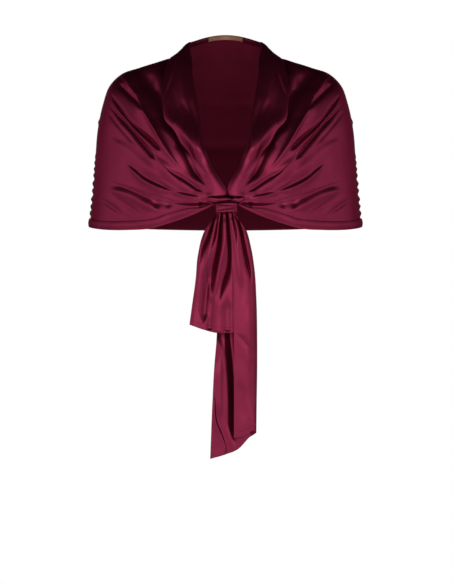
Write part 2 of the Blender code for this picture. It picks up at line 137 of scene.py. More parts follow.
def evenGrid(faces):
    return np.meshgrid(evenShares(faces[0]), evenShares(faces[1]), indexing="ij")


def rolledLines(edge, normal, beyond, radius, angles, reach=None):
    # lines that carry on past an edge and round a roll; angles in degrees, reach is how far it stands out
    lines = []
    for angle in np.radians(angles):
        out = beyond * (radius if reach is None else reach) * math.sin(angle)
        lines.append(edge + normal * radius * (math.cos(angle) - 1) + out)
    return lines


def withRolls(before, face, after):
    return np.concatenate([np.stack(before, axis=1), face, np.stack(after, axis=1)], axis=1)


def padded(normal, before, after):
    # the edges' own directions for lines added before the first and after the last
    return np.pad(normal, ((0, 0), (before, after), (0, 0)), mode="edge")


ringAt = sharesAlong(ringTable[:, :2])


def ring(name, down):
    return curveThrough(ringAt, ringTable[:, ringColumns.index(name)], down)


def onForm(around, down):
    # a point of the form: degrees round it from the centre front, and a share down it
    sine = np.sin(np.radians(around))
    cosine = np.cos(np.radians(around))
    inFront = cosine > 0
    depth = np.where(inFront, ring("frontDepth", down), ring("backDepth", down))
    centreZ = np.where(inFront, ring("frontZ", down), ring("backZ", down))
    x = ring("halfWidth", down) * sine
    z = ring("sideZ", down) * sine**2 + centreZ * cosine**2
    return np.stack([x, -depth * cosine, z], axis=-1)


def firstBelow(heightAt, z):
    low = np.zeros_like(z)
    high = np.ones_like(z)
    for _ in range(36):
        middle = (low + high) / 2
        below = heightAt(middle) < z
        low = np.where(below, low, middle)
        high = np.where(below, middle, high)
    return (low + high) / 2


def formSpots(edge):
    out, z = np.array(edge).T

    def around(down):
        return np.degrees(np.arcsin(np.clip(out / ring("halfWidth", down), 0, 1)))

    down = firstBelow(lambda share: onForm(around(share), share)[:, 2], z)
    return np.column_stack([around(down), down])


seamHem = float(firstBelow(lambda down: ring("sideZ", down), np.array(sideHemZ)))
neckSpots = np.vstack([formSpots(neckEdge), [90, 0]])
hemSpots = np.vstack([formSpots(hemEdge), [90, seamHem]])
gatherSpots = formSpots(gatherEdge)


def edgeCurve(spots, at):
    places = sharesAlong(onForm(spots[:, 0], spots[:, 1]))
    return np.stack([curveThrough(places, spots[:, k], at) for k in (0, 1)], axis=-1)


def frontForm(out, down):
    # the left front: out from the knot to the seam, down from the neck edge to the hem
    knot = np.stack([curveThrough(gatherShares, gatherSpots[:, k], down) for k in (0, 1)], axis=-1)
    seam = np.stack([np.full_like(down, 90.0), seamHem * down], axis=-1)
    neck = edgeCurve(neckSpots, out)
    hem = edgeCurve(hemSpots, out)
    o = out[..., None]
    d = down[..., None]
    corners = (1 - o) * ((1 - d) * neckSpots[0] + d * hemSpots[0])
    corners = corners + o * ((1 - d) * neckSpots[-1] + d * hemSpots[-1])
    spot = (1 - d) * neck + d * hem + (1 - o) * knot + o * seam - corners
    points = onForm(spot[..., 0], spot[..., 1])
    points[..., 1] -= knotReach * (1 - smoothStep(out / knotReachOut))
    return points


def backForm(across, down):
    # the back: across from the left seam to the right one, down from the neck edge to the hem
    around = 90 + 180 * across
    side = np.abs(np.sin(np.radians(around)))
    hemZ = sideHemZ * side**2 + backHemZ * (1 - side**2)
    hem = firstBelow(lambda share: onForm(around, share)[..., 2], hemZ)
    return onForm(around, hem * down)


def normalOf(form, along, down):
    # straight out, away from the wearer
    step = 1e-4
    ahead = np.clip(along + step, 0, 1)
    behind = np.clip(along - step, 0, 1)
    lower = np.clip(down + step, 0, 1)
    upper = np.clip(down - step, 0, 1)
    return unit(np.cross(form(along, lower) - form(along, upper), form(ahead, down) - form(behind, down)))


def downAtWidths(form, along, widths, fromHem=False):
    # shares down at which the panel is that wide, from its neck edge or its hem
    shares = np.linspace(0, 0.75, 120)
    if fromHem:
        shares = 1 - np.linspace(0, 0.3, 80)
    found = np.empty_like(widths)
    for i, place in enumerate(along):
        line = form(np.full_like(shares, place), shares)
        found[i] = np.interp(widths[i], walked(line), shares)
    return found


def stripOn(form, along, down):
    # points on the form for a strip along an edge, with the ways out of it and down it
    alongGrid = np.broadcast_to(along[:, None], down.shape)
    base = form(alongGrid, down)
    return base, normalOf(form, alongGrid, down), unit(np.gradient(base, axis=1))


# A crease is walked along its path, which is x, z pairs in mm. Its widths are how far it spreads to the left
# and the right of that walk: on a front, left is the hem side; on a tail that hangs down, left is towards +X.
def crease(height, widths, path, fade=(0.3, 0.3), grow=1.0, sharp=False):
    # grow is how much wider the far end is
    return dict(
        height=height * mm, widths=widths, path=np.reshape(path, (-1, 2)) * mm, fade=fade, grow=grow,
        power=1.4 if sharp else 2.0,
    )


def creaseHeight(x, z, made):
    path = made["path"]
    places = sharesAlong(path)
    samples = np.linspace(0, 1, 28)
    line = np.column_stack([curveThrough(places, path[:, k], samples) for k in (0, 1)])
    if len(path) == 2:
        line = path[0] + (path[1] - path[0]) * samples[:, None]
    nearest = np.full(x.shape, 1.0)
    side = np.zeros(x.shape)
    share = np.zeros(x.shape)
    for i in range(len(line) - 1):
        run = line[i + 1] - line[i]
        toX = x - line[i][0]
        toZ = z - line[i][1]
        along = np.clip((toX * run[0] + toZ * run[1]) / (run @ run), 0, 1)
        gapX = toX - along * run[0]
        gapZ = toZ - along * run[1]
        gap = np.hypot(gapX, gapZ)
        nearer = gap < nearest
        nearest = np.where(nearer, gap, nearest)
        side = np.where(nearer, run[0] * toZ - run[1] * toX, side)
        share = np.where(nearer, (i + along) / (len(line) - 1), share)
    left, right = made["widths"]
    width = np.where(side > 0, left, right) * mm * (1 + (made["grow"] - 1) * share)
    fadeIn, fadeOut = made["fade"]
    fade = smoothStep(share / fadeIn) * smoothStep((1 - share) / fadeOut)
    reach = 0.25 + 0.75 * fade
    return made["height"] * fade * np.exp(-((nearest / (width * reach)) ** made["power"]))


def creasesHeight(x, z, creases):
    total = np.zeros(x.shape)
    for made in creases.values():
        total = total + creaseHeight(x, z, made)
    return total


def ripple(u, v, size, seed):
    # slow uneven waves about one size across, so that no stretch of cloth is dead flat
    draw = np.random.default_rng(seed)
    total = np.zeros(np.broadcast(u, v).shape)
    for _ in range(7):
        turn = draw.uniform(0, math.pi)
        wave = size * draw.uniform(0.7, 1.6)
        start = draw.uniform(0, 2 * math.pi)
        total = total + np.sin(2 * math.pi * (u * math.cos(turn) + v * math.sin(turn)) / wave + start)
    return total / 4


# Materials
def srgb(code):
    # a hex colour to linear light
    parts = [int(code[i : i + 2], 16) / 255 for i in (1, 3, 5)]
    return (*[p / 12.92 if p <= 0.04045 else ((p + 0.055) / 1.055) ** 2.4 for p in parts], 1)


def addNode(tree, kind, inputs=None, **settings):
    node = tree.nodes.new(kind)
    for name, value in settings.items():
        setattr(node, name, value)
    for name, value in (inputs or {}).items():
        if isinstance(value, bpy.types.NodeSocket):
            tree.links.new(value, node.inputs[name])
        else:
            node.inputs[name].default_value = value
    return node


def newMaterial(name):
    material = bpy.data.materials.new(name)
    material.use_nodes = True
    material.node_tree.nodes.clear()
    return material, material.node_tree


def wovenCloth(name, look):
    # colour wanders slowly between two dyes' depths, and the threads show only as a fine grain
    material, tree = newMaterial(name)
    cut = addNode(tree, "ShaderNodeUVMap", uv_map="cut")  # metres on the flat cloth
    flat = cut.outputs[0]
    cloud = addNode(
        tree, "ShaderNodeTexNoise", {"Vector": flat, "Scale": 1 / look["cloudSize"], "Detail": 3.0}
    )
    colour = addNode(tree, "ShaderNodeValToRGB", {"Fac": cloud.outputs["Fac"]})
    for k, (position, dye) in enumerate(((0.35, "deep"), (0.68, "light"))):
        colour.color_ramp.elements[k].position = position
        colour.color_ramp.elements[k].color = srgb(look[dye])
    long = addNode(tree, "ShaderNodeMapping", {"Vector": flat, "Scale": (1.0, look["slubRun"], 1.0)})
    slub = addNode(
        tree, "ShaderNodeTexNoise", {"Vector": long.outputs[0], "Scale": 1 / look["slubWidth"], "Detail": 2.0}
    )
    low, high = look["roughness"]
    gloss = addNode(tree, "ShaderNodeMapRange", {"Value": slub.outputs["Fac"], "To Min": low, "To Max": high})
    waves = []
    for direction, spacing, wander in (("X", look["warp"], 0.6), ("Y", look["weft"], 0.4)):
        wave = addNode(
            tree, "ShaderNodeTexWave",
            {"Vector": flat, "Scale": waveScale(spacing), "Distortion": wander, "Detail": 1.0},
            bands_direction=direction,
        )
        waves.append(wave.outputs["Fac"])
    threads = addNode(tree, "ShaderNodeMath", {0: waves[0], 1: waves[1]}, operation="MULTIPLY")
    grain = addNode(
        tree, "ShaderNodeBump",
        {"Height": threads.outputs[0], "Strength": look["grain"], "Distance": look["threadHeight"]},
    )
    shader = addNode(
        tree,
        "ShaderNodeBsdfPrincipled",
        {
            "Base Color": colour.outputs["Color"],
            "Metallic": look["metallic"],
            "Roughness": gloss.outputs["Result"],
            "IOR": look["ior"],
            "Specular IOR Level": look["shine"],
            "Specular Tint": srgb(look["edgeTint"]),
            "Normal": grain.outputs["Normal"],
        },
    )
    addNode(tree, "ShaderNodeOutputMaterial", {"Surface": shader.outputs["BSDF"]})
    return material


def waveScale(spacing):
    # a wave texture of scale 1 repeats each pi/10 of a unit
    return math.pi / 10 / spacing


# Polyester satin, woven: long floats of filament yarn lie side by side, which gives broad bright lights and
# near-black shades. Its threads are 0.12 mm apart, too fine to show, so they are drawn 1.1 mm apart.
satinFace = dict(
    deep="#8e2a4b", light="#973052", cloudSize=0.060, slubRun=0.12, slubWidth=0.0016,
    roughness=(0.31, 0.37), warp=0.0011, weft=0.0013, threadHeight=0.00005, grain=0.3,
    metallic=0.87, ior=1.55, shine=0.3, edgeTint="#c58fa2",
)
# The wrong side of the same cloth, where the short weft floats scatter the light: even and matte.
satinReverse = dict(
    deep="#66182f", light="#6d1b34", cloudSize=0.080, slubRun=0.3, slubWidth=0.0020,
    roughness=(0.62, 0.70), warp=0.0013, weft=0.0011, threadHeight=0.00005, grain=0.3,
    metallic=0.0, ior=1.50, shine=0.12, edgeTint="#a0506a",
)
# Copper satin ribbon, woven: a narrow pale warp with a soft metal-like glow, and no lettering.
ribbonFace = dict(
    deep="#b07a62", light="#c89a80", cloudSize=0.020, slubRun=0.2, slubWidth=0.0010,
    roughness=(0.40, 0.50), warp=0.0008, weft=0.0010, threadHeight=0.00004, grain=0.35,
    metallic=0.25, ior=1.50, shine=0.4, edgeTint="#f0d0bc",
)
# Sewing thread, polyester, spun: a shade darker than the satin and without its gloss.
threadLook = dict(
    deep="#64102c", light="#741836", cloudSize=0.010, slubRun=1.0, slubWidth=0.0008,
    roughness=(0.5, 0.6), warp=0.0006, weft=0.0006, threadHeight=0.00003, grain=0.3,
    metallic=0.1, ior=1.50, shine=0.3, edgeTint="#c06a86",
)
burgundySatin = wovenCloth("burgundySatinWoven", satinFace)
satinWrongSide = wovenCloth("burgundySatinWrongSide", satinReverse)
copperRibbon = wovenCloth("copperSatinRibbon", ribbonFace)
sewingThread = wovenCloth("burgundySewingThread", threadLook)
print("materials made")


# Mesh making
def meshFrom(name, points, quads, cut, materials):
    mesh = bpy.data.meshes.new(name)
    mesh.vertices.add(len(points))
    mesh.vertices.foreach_set("co", np.asarray(points, np.float32).ravel())
    mesh.loops.add(quads.size)
    mesh.loops.foreach_set("vertex_index", quads.astype(np.int32).ravel())
    mesh.polygons.add(len(quads))
    mesh.polygons.foreach_set("loop_start", np.arange(0, quads.size, 4, dtype=np.int32))
    mesh.update(calc_edges=True)
    layer = mesh.uv_layers.new(name="cut")
    layer.uv.foreach_set("vector", np.asarray(cut, np.float32)[quads.ravel()].ravel())
    for material in materials:
        mesh.materials.append(material)
    mesh.validate()
    mesh.shade_smooth()
    thing = bpy.data.objects.new(name, mesh)
    bpy.context.scene.collection.objects.link(thing)
    return thing


def lengthsOver(points, axis):
    # metres of cloth from the first line to each one, averaged over the piece
    steps = np.linalg.norm(np.diff(points, axis=axis), axis=-1).mean(axis=1 - axis)
    return np.concatenate([[0], np.cumsum(steps)])


def clothPiece(node, points, outward, look, materials, slot="satin", closed=False):
    # one layer of cloth from a grid of points on the middle of its wall, facing the outward vectors
    rows, columns = points.shape[:2]
    u, v = np.meshgrid(lengthsOver(points, 0), lengthsOver(points, 1), indexing="ij")
    flat = points.reshape(-1, 3)
    i, j = np.meshgrid(np.arange(rows if closed else rows - 1), np.arange(columns - 1), indexing="ij")
    here = (i * columns + j).ravel()
    beyond = ((i + 1) % rows * columns + j).ravel()
    quads = np.column_stack([here, beyond, beyond + 1, here + 1])
    facing = np.cross(flat[quads[:, 2]] - flat[quads[:, 0]], flat[quads[:, 3]] - flat[quads[:, 1]])
    if (facing * outward.reshape(-1, 3)[quads[:, 0]]).sum() < 0:
        quads = quads[:, ::-1]
    name = node + ("_ribbon" if slot == "label" else "_satin")
    thing = meshFrom(name, flat, quads, np.column_stack([u.ravel(), v.ravel()]), materials)
    solidify = thing.modifiers.new("wall", "SOLIDIFY")
    solidify.thickness = look["wall"]
    solidify.offset = 0
    solidify.material_offset = 1 if len(materials) > 1 else 0
    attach(thing, "root")
    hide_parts(node)
    return thing


twoSides = {"left": (1, 1, 1), "right": (-1, 1, 1)}

# Where the fronts cross, the knot pulls both of them a little towards the wearer's left, and
# above it the two neck edges are drawn together.
knotPull = dict(x=0.0, z=-0.2520, shift=3.2 * mm, reach=0.020)
neckDraw = dict(z=-0.2240, depth=0.036, shift=5.0 * mm, starts=6.0 * mm, reach=0.040)


def pulled(points):
    x, z = points[..., 0], points[..., 2]
    gap = np.hypot(x - knotPull["x"], z - knotPull["z"])
    level = np.exp(-(((z - neckDraw["z"]) / neckDraw["depth"]) ** 2) - (x / neckDraw["reach"]) ** 2)
    moved = points.copy()
    moved[..., 0] += knotPull["shift"] * np.exp(-((gap / knotPull["reach"]) ** 2))
    moved[..., 0] -= neckDraw["shift"] * level * np.tanh(x / neckDraw["starts"])
    return moved


clothSides = [burgundySatin, satinWrongSide]


def clothPair(name, points, outward, look):
    # the left piece and its mirror, both drawn towards the knot
    made = {}
    for side, flip in twoSides.items():
        made[side] = clothPiece(f"{name}_{side}", pulled(points * flip), outward * flip, look, clothSides)
    return made


def stitchRow(name, line, outward, look):
    # a row of machine stitches along a line: short plump threads that dip into the cloth at their ends
    gone = walked(line)

    def lineAt(table, at):
        return np.array([np.interp(at, gone, table[:, axis]) for axis in range(3)])

    count = int(gone[-1] / look["pitch"])
    starts = (np.arange(count) + 0.5) * look["pitch"]
    turns = np.linspace(0, 2 * math.pi, 6, endpoint=False)
    points, quads, cut = [], [], []
    for start in starts:
        base = len(points)
        for k, share in enumerate((0, 0.2, 0.5, 0.8, 1)):
            at = start + look["length"] * (share - 0.5)
            centre = lineAt(line, at)
            along = unit(lineAt(line, at + 1e-4) - centre + 1e-12)
            up = lineAt(outward, at)
            up = unit(up - along * (up @ along))
            across = np.cross(along, up)
            plump = math.sin(math.pi * (0.12 + 0.76 * share))
            lift = look["lift"] + look["radius"] * (plump - 1)
            for turn in turns:
                offset = up * math.cos(turn) + across * math.sin(turn)
                points.append(centre + up * lift + offset * look["radius"] * plump)
                cut.append((at, turn * look["radius"]))
            if k:
                for t in range(6):
                    a = base + (k - 1) * 6 + t
                    b = base + (k - 1) * 6 + (t + 1) % 6
                    quads.append((a, b, b + 6, a + 6))
        for end in (0, 4):
            first = base + end * 6
            ends = [(first, first + 1, first + 2, first + 3), (first, first + 3, first + 4, first + 5)]
            quads.extend(ends if end else [q[::-1] for q in ends])
    thing = meshFrom(name, np.array(points), np.array(quads), np.array(cut), [sewingThread])
    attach(thing, "root")
    return thing


stitching = dict(pitch=3.0 * mm, length=2.3 * mm, radius=0.28 * mm, lift=0.55 * mm)

# The fronts. Their creases run in from the side seam and gather at the knot.
frontPanel = dict(
    faces=(168, 160), wall=0.9 * mm, turnRadius=2.0 * mm, turnLines=7,
    creases={
        "collar valley": crease(
            -16, (23, 14), (164, -22, 141, -42, 120, -66, 102, -94, 88, -128, 80, -158), fade=(0.25, 0.35)
        ),
        "shoulder fold": crease(1.2, (9, 7), (130, -60, 118, -44, 108, -32)),
        "tip pinch": crease(2.8, (3.5, 3), (182, -38, 172, -49, 161, -62), sharp=True),
        "second pinch": crease(2.4, (4, 3.5), (172, -54, 157, -70, 149, -84), sharp=True),
        "shoulder trough": crease(
            -4.0, (3.5, 5), (188, -54, 165, -77, 147, -95, 134, -115), fade=(0.15, 0.3)
        ),
        "long ridge": crease(
            6.0, (9, 4), (160, -70, 144, -96, 134, -116, 119, -141, 106, -166, 90, -190, 70, -216),
            fade=(0.25, 0.4), sharp=True
        ),
        "thin ridge": crease(
            2.4, (2.4, 1.7), (150, -88, 139, -107, 126, -130, 112, -156, 100, -176), fade=(0.4, 0.5)
        ),
        "upper trough": crease(
            -4.8, (6, 2.2), (203, -66, 186, -92, 166, -121, 127, -156, 104, -181),
            fade=(0.35, 0.14), grow=0.65
        ),
        "trough ridge": crease(3.0, (4, 4), (200, -80, 165, -127, 135, -158, 104, -192), fade=(0.2, 0.35)),
        "lower trough": crease(
            -4.6, (5.5, 2.0), (204, -88, 186, -110, 165, -133, 142, -161, 116, -194),
            fade=(0.35, 0.12), grow=0.65
        ),
        "arm line": crease(-1.1, (3, 4), (207, -100, 186, -128, 166, -152, 150, -170), fade=(0.2, 0.3)),
        "arm drag": crease(-0.9, (8, 9), (212, -128, 186, -154, 156, -184, 130, -206)),
        "arm swell": crease(2.0, (9, 8), (200, -150, 172, -170, 140, -198, 106, -226)),
        "breast swell": crease(3.0, (12, 11), (128, -176, 108, -202, 84, -226, 52, -248), fade=(0.4, 0.3)),
        "mid crease": crease(
            -1.5, (2.4, 5), (192, -172, 172, -190, 148, -214, 97, -241, 44, -256), fade=(0.5, 0.2)
        ),
        "mid ridge": crease(
            3.6, (7, 3.5), (172, -198, 156, -210, 138, -226, 114, -239, 88, -248),
            fade=(0.3, 0.3), sharp=True
        ),
        "inner crease": crease(
            -2.8, (2.5, 5), (108, -196, 94, -211, 68, -228, 40, -248), fade=(0.45, 0.12)
        ),
        "inner ridge": crease(2.2, (5, 5), (116, -222, 96, -237, 72, -252, 38, -262), fade=(0.5, 0.2)),
        "lapel shadow": crease(-6.0, (6, 7), (88, -150, 68, -182, 54, -211, 34, -238), fade=(0.2, 0.3)),
        "lower crease": crease(
            -3.0, (12, 4), (220, -224, 190, -231, 165, -241, 128, -257, 96, -264, 62, -268),
            fade=(0.5, 0.35)
        ),
        "knot crease": crease(
            -3.4, (1.5, 1.8), (95, -264, 66, -268, 44, -268.5, 24, -266.5), fade=(0.5, 0.02)
        ),
        "knot line": crease(-0.8, (2, 3), (100, -250, 72, -258, 48, -262, 33, -263), fade=(0.6, 0.05)),
        "lower swell": crease(3.0, (8, 8), (206, -240, 164, -250, 132, -268, 108, -282), fade=(0.3, 0.3)),
        "hem crease": crease(-1.7, (3, 5), (224, -250, 198, -269, 166, -292), fade=(0.4, 0.5)),
        "hem crease two": crease(-1.3, (4, 5), (196, -250, 166, -271, 136, -290), fade=(0.5, 0.5)),
    },
    # small hollows where creases meet: out, height, width, depth, in mm
    hollows=((117, -266, 7, -2.0), (97, -268, 6, -2.0), (43, -268, 3.0, -6.0)),
)

# The side seams are ruched: scallops of uneven pitch, each fading in over the panel beside it.
ruching = dict(
    starts=(0.704, 0.728, 0.757, 0.784, 0.818, 0.848, 0.887, 0.916, 0.945, 0.976),
    heights=(1.2, 1.6, 2.0, 2.0, 2.6, 2.3, 2.8, 2.4, 2.7, 1.6),
    reaches=(14, 22, 18, 30, 20, 36, 24, 34, 20, 16),
    width=0.0088, sag=0.0175, sagRun=0.06, grooveBelow=0.016, grooveWidth=0.007, groove=0.4,
    notch=dict(height=2.2 * mm, down=0.557, width=0.010, reach=0.008),
)


def ruched(down, fromSeam, turn):
    # fromSeam is metres of cloth in from the side seam
    total = np.zeros(down.shape)
    rows = zip(ruching["starts"], ruching["heights"], ruching["reaches"])
    for i, (start, height, reach) in enumerate(rows):
        reach = reach * mm * (1 + 0.25 * math.sin(2.3 * i + turn))
        line = start + ruching["sag"] * (fromSeam / ruching["sagRun"]) * math.sin(1.7 * i + turn)
        fade = height * mm * np.exp(-((fromSeam / reach) ** 1.6))
        groove = (down - line - ruching["grooveBelow"]) / ruching["grooveWidth"]
        total = total + fade * np.exp(-(((down - line) / ruching["width"]) ** 2))
        total = total - ruching["groove"] * fade * np.exp(-(groove**2))
    notch = ruching["notch"]
    shape = np.exp(-(((down - notch["down"]) / notch["width"]) ** 2) - (fromSeam / notch["reach"]) ** 2)
    return total + notch["height"] * shape


seamLine = dict(depth=0.9 * mm, width=0.0022)


def seamDip(fromSeam):
    # the stitched seam pulls both panels in a little
    return -seamLine["depth"] * np.exp(-((fromSeam / seamLine["width"]) ** 2))


def flattened(height, down, edge):
    # ridges lie down where the collar covers them
    bare = smoothStep((down - edge) / 0.06)
    return np.where(height > 0, height * bare, height * (0.35 + 0.65 * bare)), bare


# The turned collar: how wide it is along the neck edge, from knot to shoulder seam and round the back.
frontCollar = dict(
    along=(0.00, 0.07, 0.165, 0.23, 0.33, 0.46, 0.55, 0.60, 0.675, 0.765, 0.88, 1.00),
    width=(0.034, 0.026, 0.0265, 0.0325, 0.0385, 0.058, 0.066, 0.073, 0.063, 0.055, 0.044, 0.029),
    faces=(170, 44), wall=0.9 * mm,
)
backCollar = dict(
    along=(0.00, 0.25, 0.50, 0.75, 1.00),
    width=(0.029, 0.040, 0.046, 0.040, 0.029),
    faces=(120, 44), wall=0.9 * mm,
)
collarRoll = dict(
    seat=3.4 * mm, puff=5.5 * mm, fullWidth=0.040, neckRoll=2.4 * mm, edgeRoll=1.15 * mm,
    facing=0.006, tuck=0.004, room=8.0 * mm,
    creases={
        # walked outwards, so left is above: the cloth slopes forward from the hollow to the swell below it
        "lapel hollow": crease(-8.0, (60, 28), (30, -118, 66, -112, 110, -96), fade=(0.02, 0.02)),
        "lapel belly": crease(9.0, (32, 17), (16, -176, 50, -174, 96, -164), fade=(0.02, 0.02)),
        "lapel drape": crease(-1.6, (6, 8), (92, -62, 86, -92, 76, -124), fade=(0.4, 0.4)),
        "neck side": crease(3.4, (7, 10), (73, -4, 76, -34, 71, -72, 60, -116), fade=(0.2, 0.3)),
        "low fold": crease(-1.6, (4, 5), (56, -186, 44, -206, 28, -230), fade=(0.3, 0.3)),
    },
)


def collarWidth(collar, along):
    return curveThrough(collar["along"], collar["width"], along)


def frontHeight(out, down, points, fromSeam, collarEdge):
    # how far a front stands off the form: its creases, the ruching, and slow waves between them
    height = creasesHeight(points[..., 0], points[..., 2], frontPanel["creases"])
    for x, z, width, deep in frontPanel["hollows"]:
        gap = np.hypot(points[..., 0] - x * mm, points[..., 2] - z * mm)
        height = height + deep * mm * np.exp(-((gap / (width * mm)) ** 2))
    height = height * smoothStep((1 - out) / 0.06) + ruched(down, fromSeam, 0.4)
    height = height + 0.55 * mm * ripple(out * 0.30, down * 0.26, 0.075, 11)
    height, bare = flattened(height, down, collarEdge)
    # the panel sinks a little under the collar, so the lapel's hollows have room
    ends = smoothStep((1 - out) / 0.12) * smoothStep((out - 0.14) / 0.3)
    room = smoothStep(down / (0.4 * collarEdge)) * (1 - bare) * ends
    height = height - collarRoll["room"] * room
    return height * smoothStep((1.0 - down) / 0.035) + seamDip(fromSeam)


def frontGrid():
    out, down = evenGrid(frontPanel["faces"])
    points = frontForm(out, down)
    normal = normalOf(frontForm, out, down)
    fromKnot = walked(points)
    fromSeam = fromKnot[-1] - fromKnot
    edge = downAtWidths(frontForm, out[:, 0], collarWidth(frontCollar, out[:, 0])[:, None])
    height = frontHeight(out, down, points, fromSeam, edge)
    return points + normal * height[..., None], normal, height


def knotTurn(points, normal, tip):
    # at the knot the panel's edge rolls in along the slit, and below it runs in behind the band
    edge = points[0]
    inward = unit(points[0] - points[1])
    intoBand = smoothStep((np.linspace(0, 1, len(edge)) - 0.66) / 0.12)[:, None]
    lines = []
    for k in range(1, frontPanel["turnLines"] + 1):
        share = k / frontPanel["turnLines"]
        rolled = rolledLines(edge, normal[0], inward, frontPanel["turnRadius"], [165 * share])[0]
        drawn = edge + (tip + (edge - tip) * 0.25 - edge) * share
        drawn[:, 1] += 0.004 * share
        lines.append(rolled * (1 - intoBand) + drawn * intoBand)
    return np.array(lines[::-1])


frontPoints, frontNormal, frontLift = frontGrid()
bandHeart = np.array([0.006, -0.1470, -0.2745])
turned = knotTurn(frontPoints, frontNormal, bandHeart)
frontPoints = np.concatenate([turned, frontPoints])
frontNormal = np.concatenate([np.repeat(frontNormal[:1], len(turned), axis=0), frontNormal])
fronts = clothPair("front", frontPoints, frontNormal, frontPanel)
print("fronts made")


# The collar lies over its panel, rolled over at the neck edge and tucked under at its outer edge.
def collarGrid(form, collar, panelLift):
    along = evenShares(collar["faces"][0])
    width = collarWidth(collar, along)
    shares = evenShares(collar["faces"][1])
    down = downAtWidths(form, along, width[:, None] * shares)
    base, normal, tangent = stripOn(form, along, down)
    fullness = np.minimum(1, width / collarRoll["fullWidth"])[:, None]
    crown = np.sin(math.pi * shares**0.9)[None, :]
    lift = collarRoll["seat"] + collarRoll["puff"] * fullness * crown + panelLift(along, down, shares)
    lift = lift + collarShape(base, shares)
    face = base + normal * lift[..., None]
    neck = rollLines(face[:, 0], normal[:, 0], -tangent[:, 0], collarRoll["neckRoll"], collarRoll["facing"])
    outer = rollLines(face[:, -1], normal[:, -1], tangent[:, -1], collarRoll["edgeRoll"], collarRoll["tuck"])
    return withRolls(neck[::-1], face, outer), padded(normal, len(neck), len(outer))


def rollLines(edge, normal, beyond, radius, under):
    # past an edge, round a roll and back under the cloth
    lines = rolledLines(edge, normal, beyond, radius, np.linspace(20, 180, 9))
    for run in np.linspace(0.15, 1, 5) * under:
        lines.append(edge - normal * 2 * radius - beyond * run)
    return lines


def collarShape(base, shares):
    # hollows and folds of the lapels, which leave the collar's two edges lying as they are
    height = creasesHeight(np.abs(base[..., 0]), base[..., 2], collarRoll["creases"])
    height = np.where(base[..., 1] < 0, height, 0)
    edges = (0.35 + 0.65 * smoothStep(shares / 0.25)) * smoothStep((1 - shares) / 0.3)
    return height * edges[None, :]


def frontCollarLift(along, down, shares):
    # the collar follows half of its panel's waves where they run out from under it
    follow = np.interp(along, np.linspace(0, 1, len(frontLift)), np.arange(len(frontLift)))
    lift = frontLift[follow.astype(int)]
    rows = np.linspace(0, 1, lift.shape[1])
    under = np.array([np.interp(down[i], rows, lift[i]) for i in range(len(along))])
    sweep = np.maximum(under, 0) * smoothStep((shares - 0.4) / 0.6)
    soft = 0.6 * mm * ripple(along[:, None] * 0.34, shares[None, :] * 0.06, 0.060, 5)
    return sweep + soft * np.sin(math.pi * shares)[None, :] + seamDip((1 - along)[:, None] * 0.34)


def backCollarLift(along, down, shares):
    soft = 0.5 * mm * ripple(along[:, None] * 0.24, shares[None, :] * 0.05, 0.060, 7)
    ends = np.minimum(along, 1 - along)[:, None] * 0.24
    return soft * np.sin(math.pi * shares)[None, :] * smoothStep(ends / 0.02) + seamDip(ends)


collars = clothPair("collar", *collarGrid(frontForm, frontCollar, frontCollarLift), frontCollar)
collars["back"] = clothPiece(
    "collar_back", *collarGrid(backForm, backCollar, backCollarLift), backCollar, clothSides
)
print("collar made")

# The back hangs in broad drapes from the side seams, lowest at the centre.
backPanel = dict(
    faces=(216, 118), wall=0.9 * mm,
    drapes=(
        # at the seam, at the centre, share of the way in where it ends, height, width above and below
        (0.20, 0.24, 0.62, -3.0, 0.030, 0.022),
        (0.28, 0.33, 1.00, 4.6, 0.018, 0.032),
        (0.36, 0.42, 0.52, -4.0, 0.020, 0.018),
        (0.45, 0.53, 1.00, 5.2, 0.020, 0.036),
        (0.55, 0.63, 0.46, -4.2, 0.020, 0.018),
        (0.64, 0.73, 0.80, 4.4, 0.018, 0.030),
        (0.73, 0.80, 0.40, -3.0, 0.016, 0.016),
        (0.82, 0.88, 0.58, 3.0, 0.018, 0.022),
    ),
    stitchedAt=0.955,  # of the way down
)


def backGrid():
    across, down = evenGrid(backPanel["faces"])
    points = backForm(across, down)
    normal = normalOf(backForm, across, down)
    gone = walked(points)
    fromSeam = np.minimum(gone, gone[-1] - gone)
    inward = 1 - np.abs(2 * across - 1)
    height = np.zeros(across.shape)
    for i, (atSeam, atCentre, ends, tall, above, below) in enumerate(backPanel["drapes"]):
        sway = 0.012 * np.sin(5 * across + 1.3 * i)
        line = atSeam + (atCentre - atSeam) * np.sin(math.pi * inward / 2) + sway * inward
        width = np.where(down < line, above, below) * (0.8 + 0.5 * inward)
        fade = smoothStep((inward - 0.03) / 0.2) * smoothStep((ends + 0.2 - inward) / 0.28)
        if ends >= 1:
            fade = smoothStep((inward - 0.03) / 0.2) * (1 - 0.35 * inward)
        height = height + tall * mm * fade * np.exp(-(((down - line) / width) ** 2))
    right = across > 0.5
    height = height + np.where(right, ruched(down, fromSeam, 1.9), ruched(down, fromSeam, 0.9))
    height = height + 0.6 * mm * ripple(across * 0.6, down * 0.3, 0.085, 23)
    edge = downAtWidths(backForm, across[:, 0], collarWidth(backCollar, across[:, 0])[:, None])
    height, _ = flattened(height, down, edge)
    height = height * smoothStep((1.0 - down) / 0.03 + 0.25) + seamDip(fromSeam)
    return points + normal * height[..., None], normal


backPoints, backNormal = backGrid()
back = clothPiece("back", backPoints, backNormal, backPanel, clothSides)
print("back made")

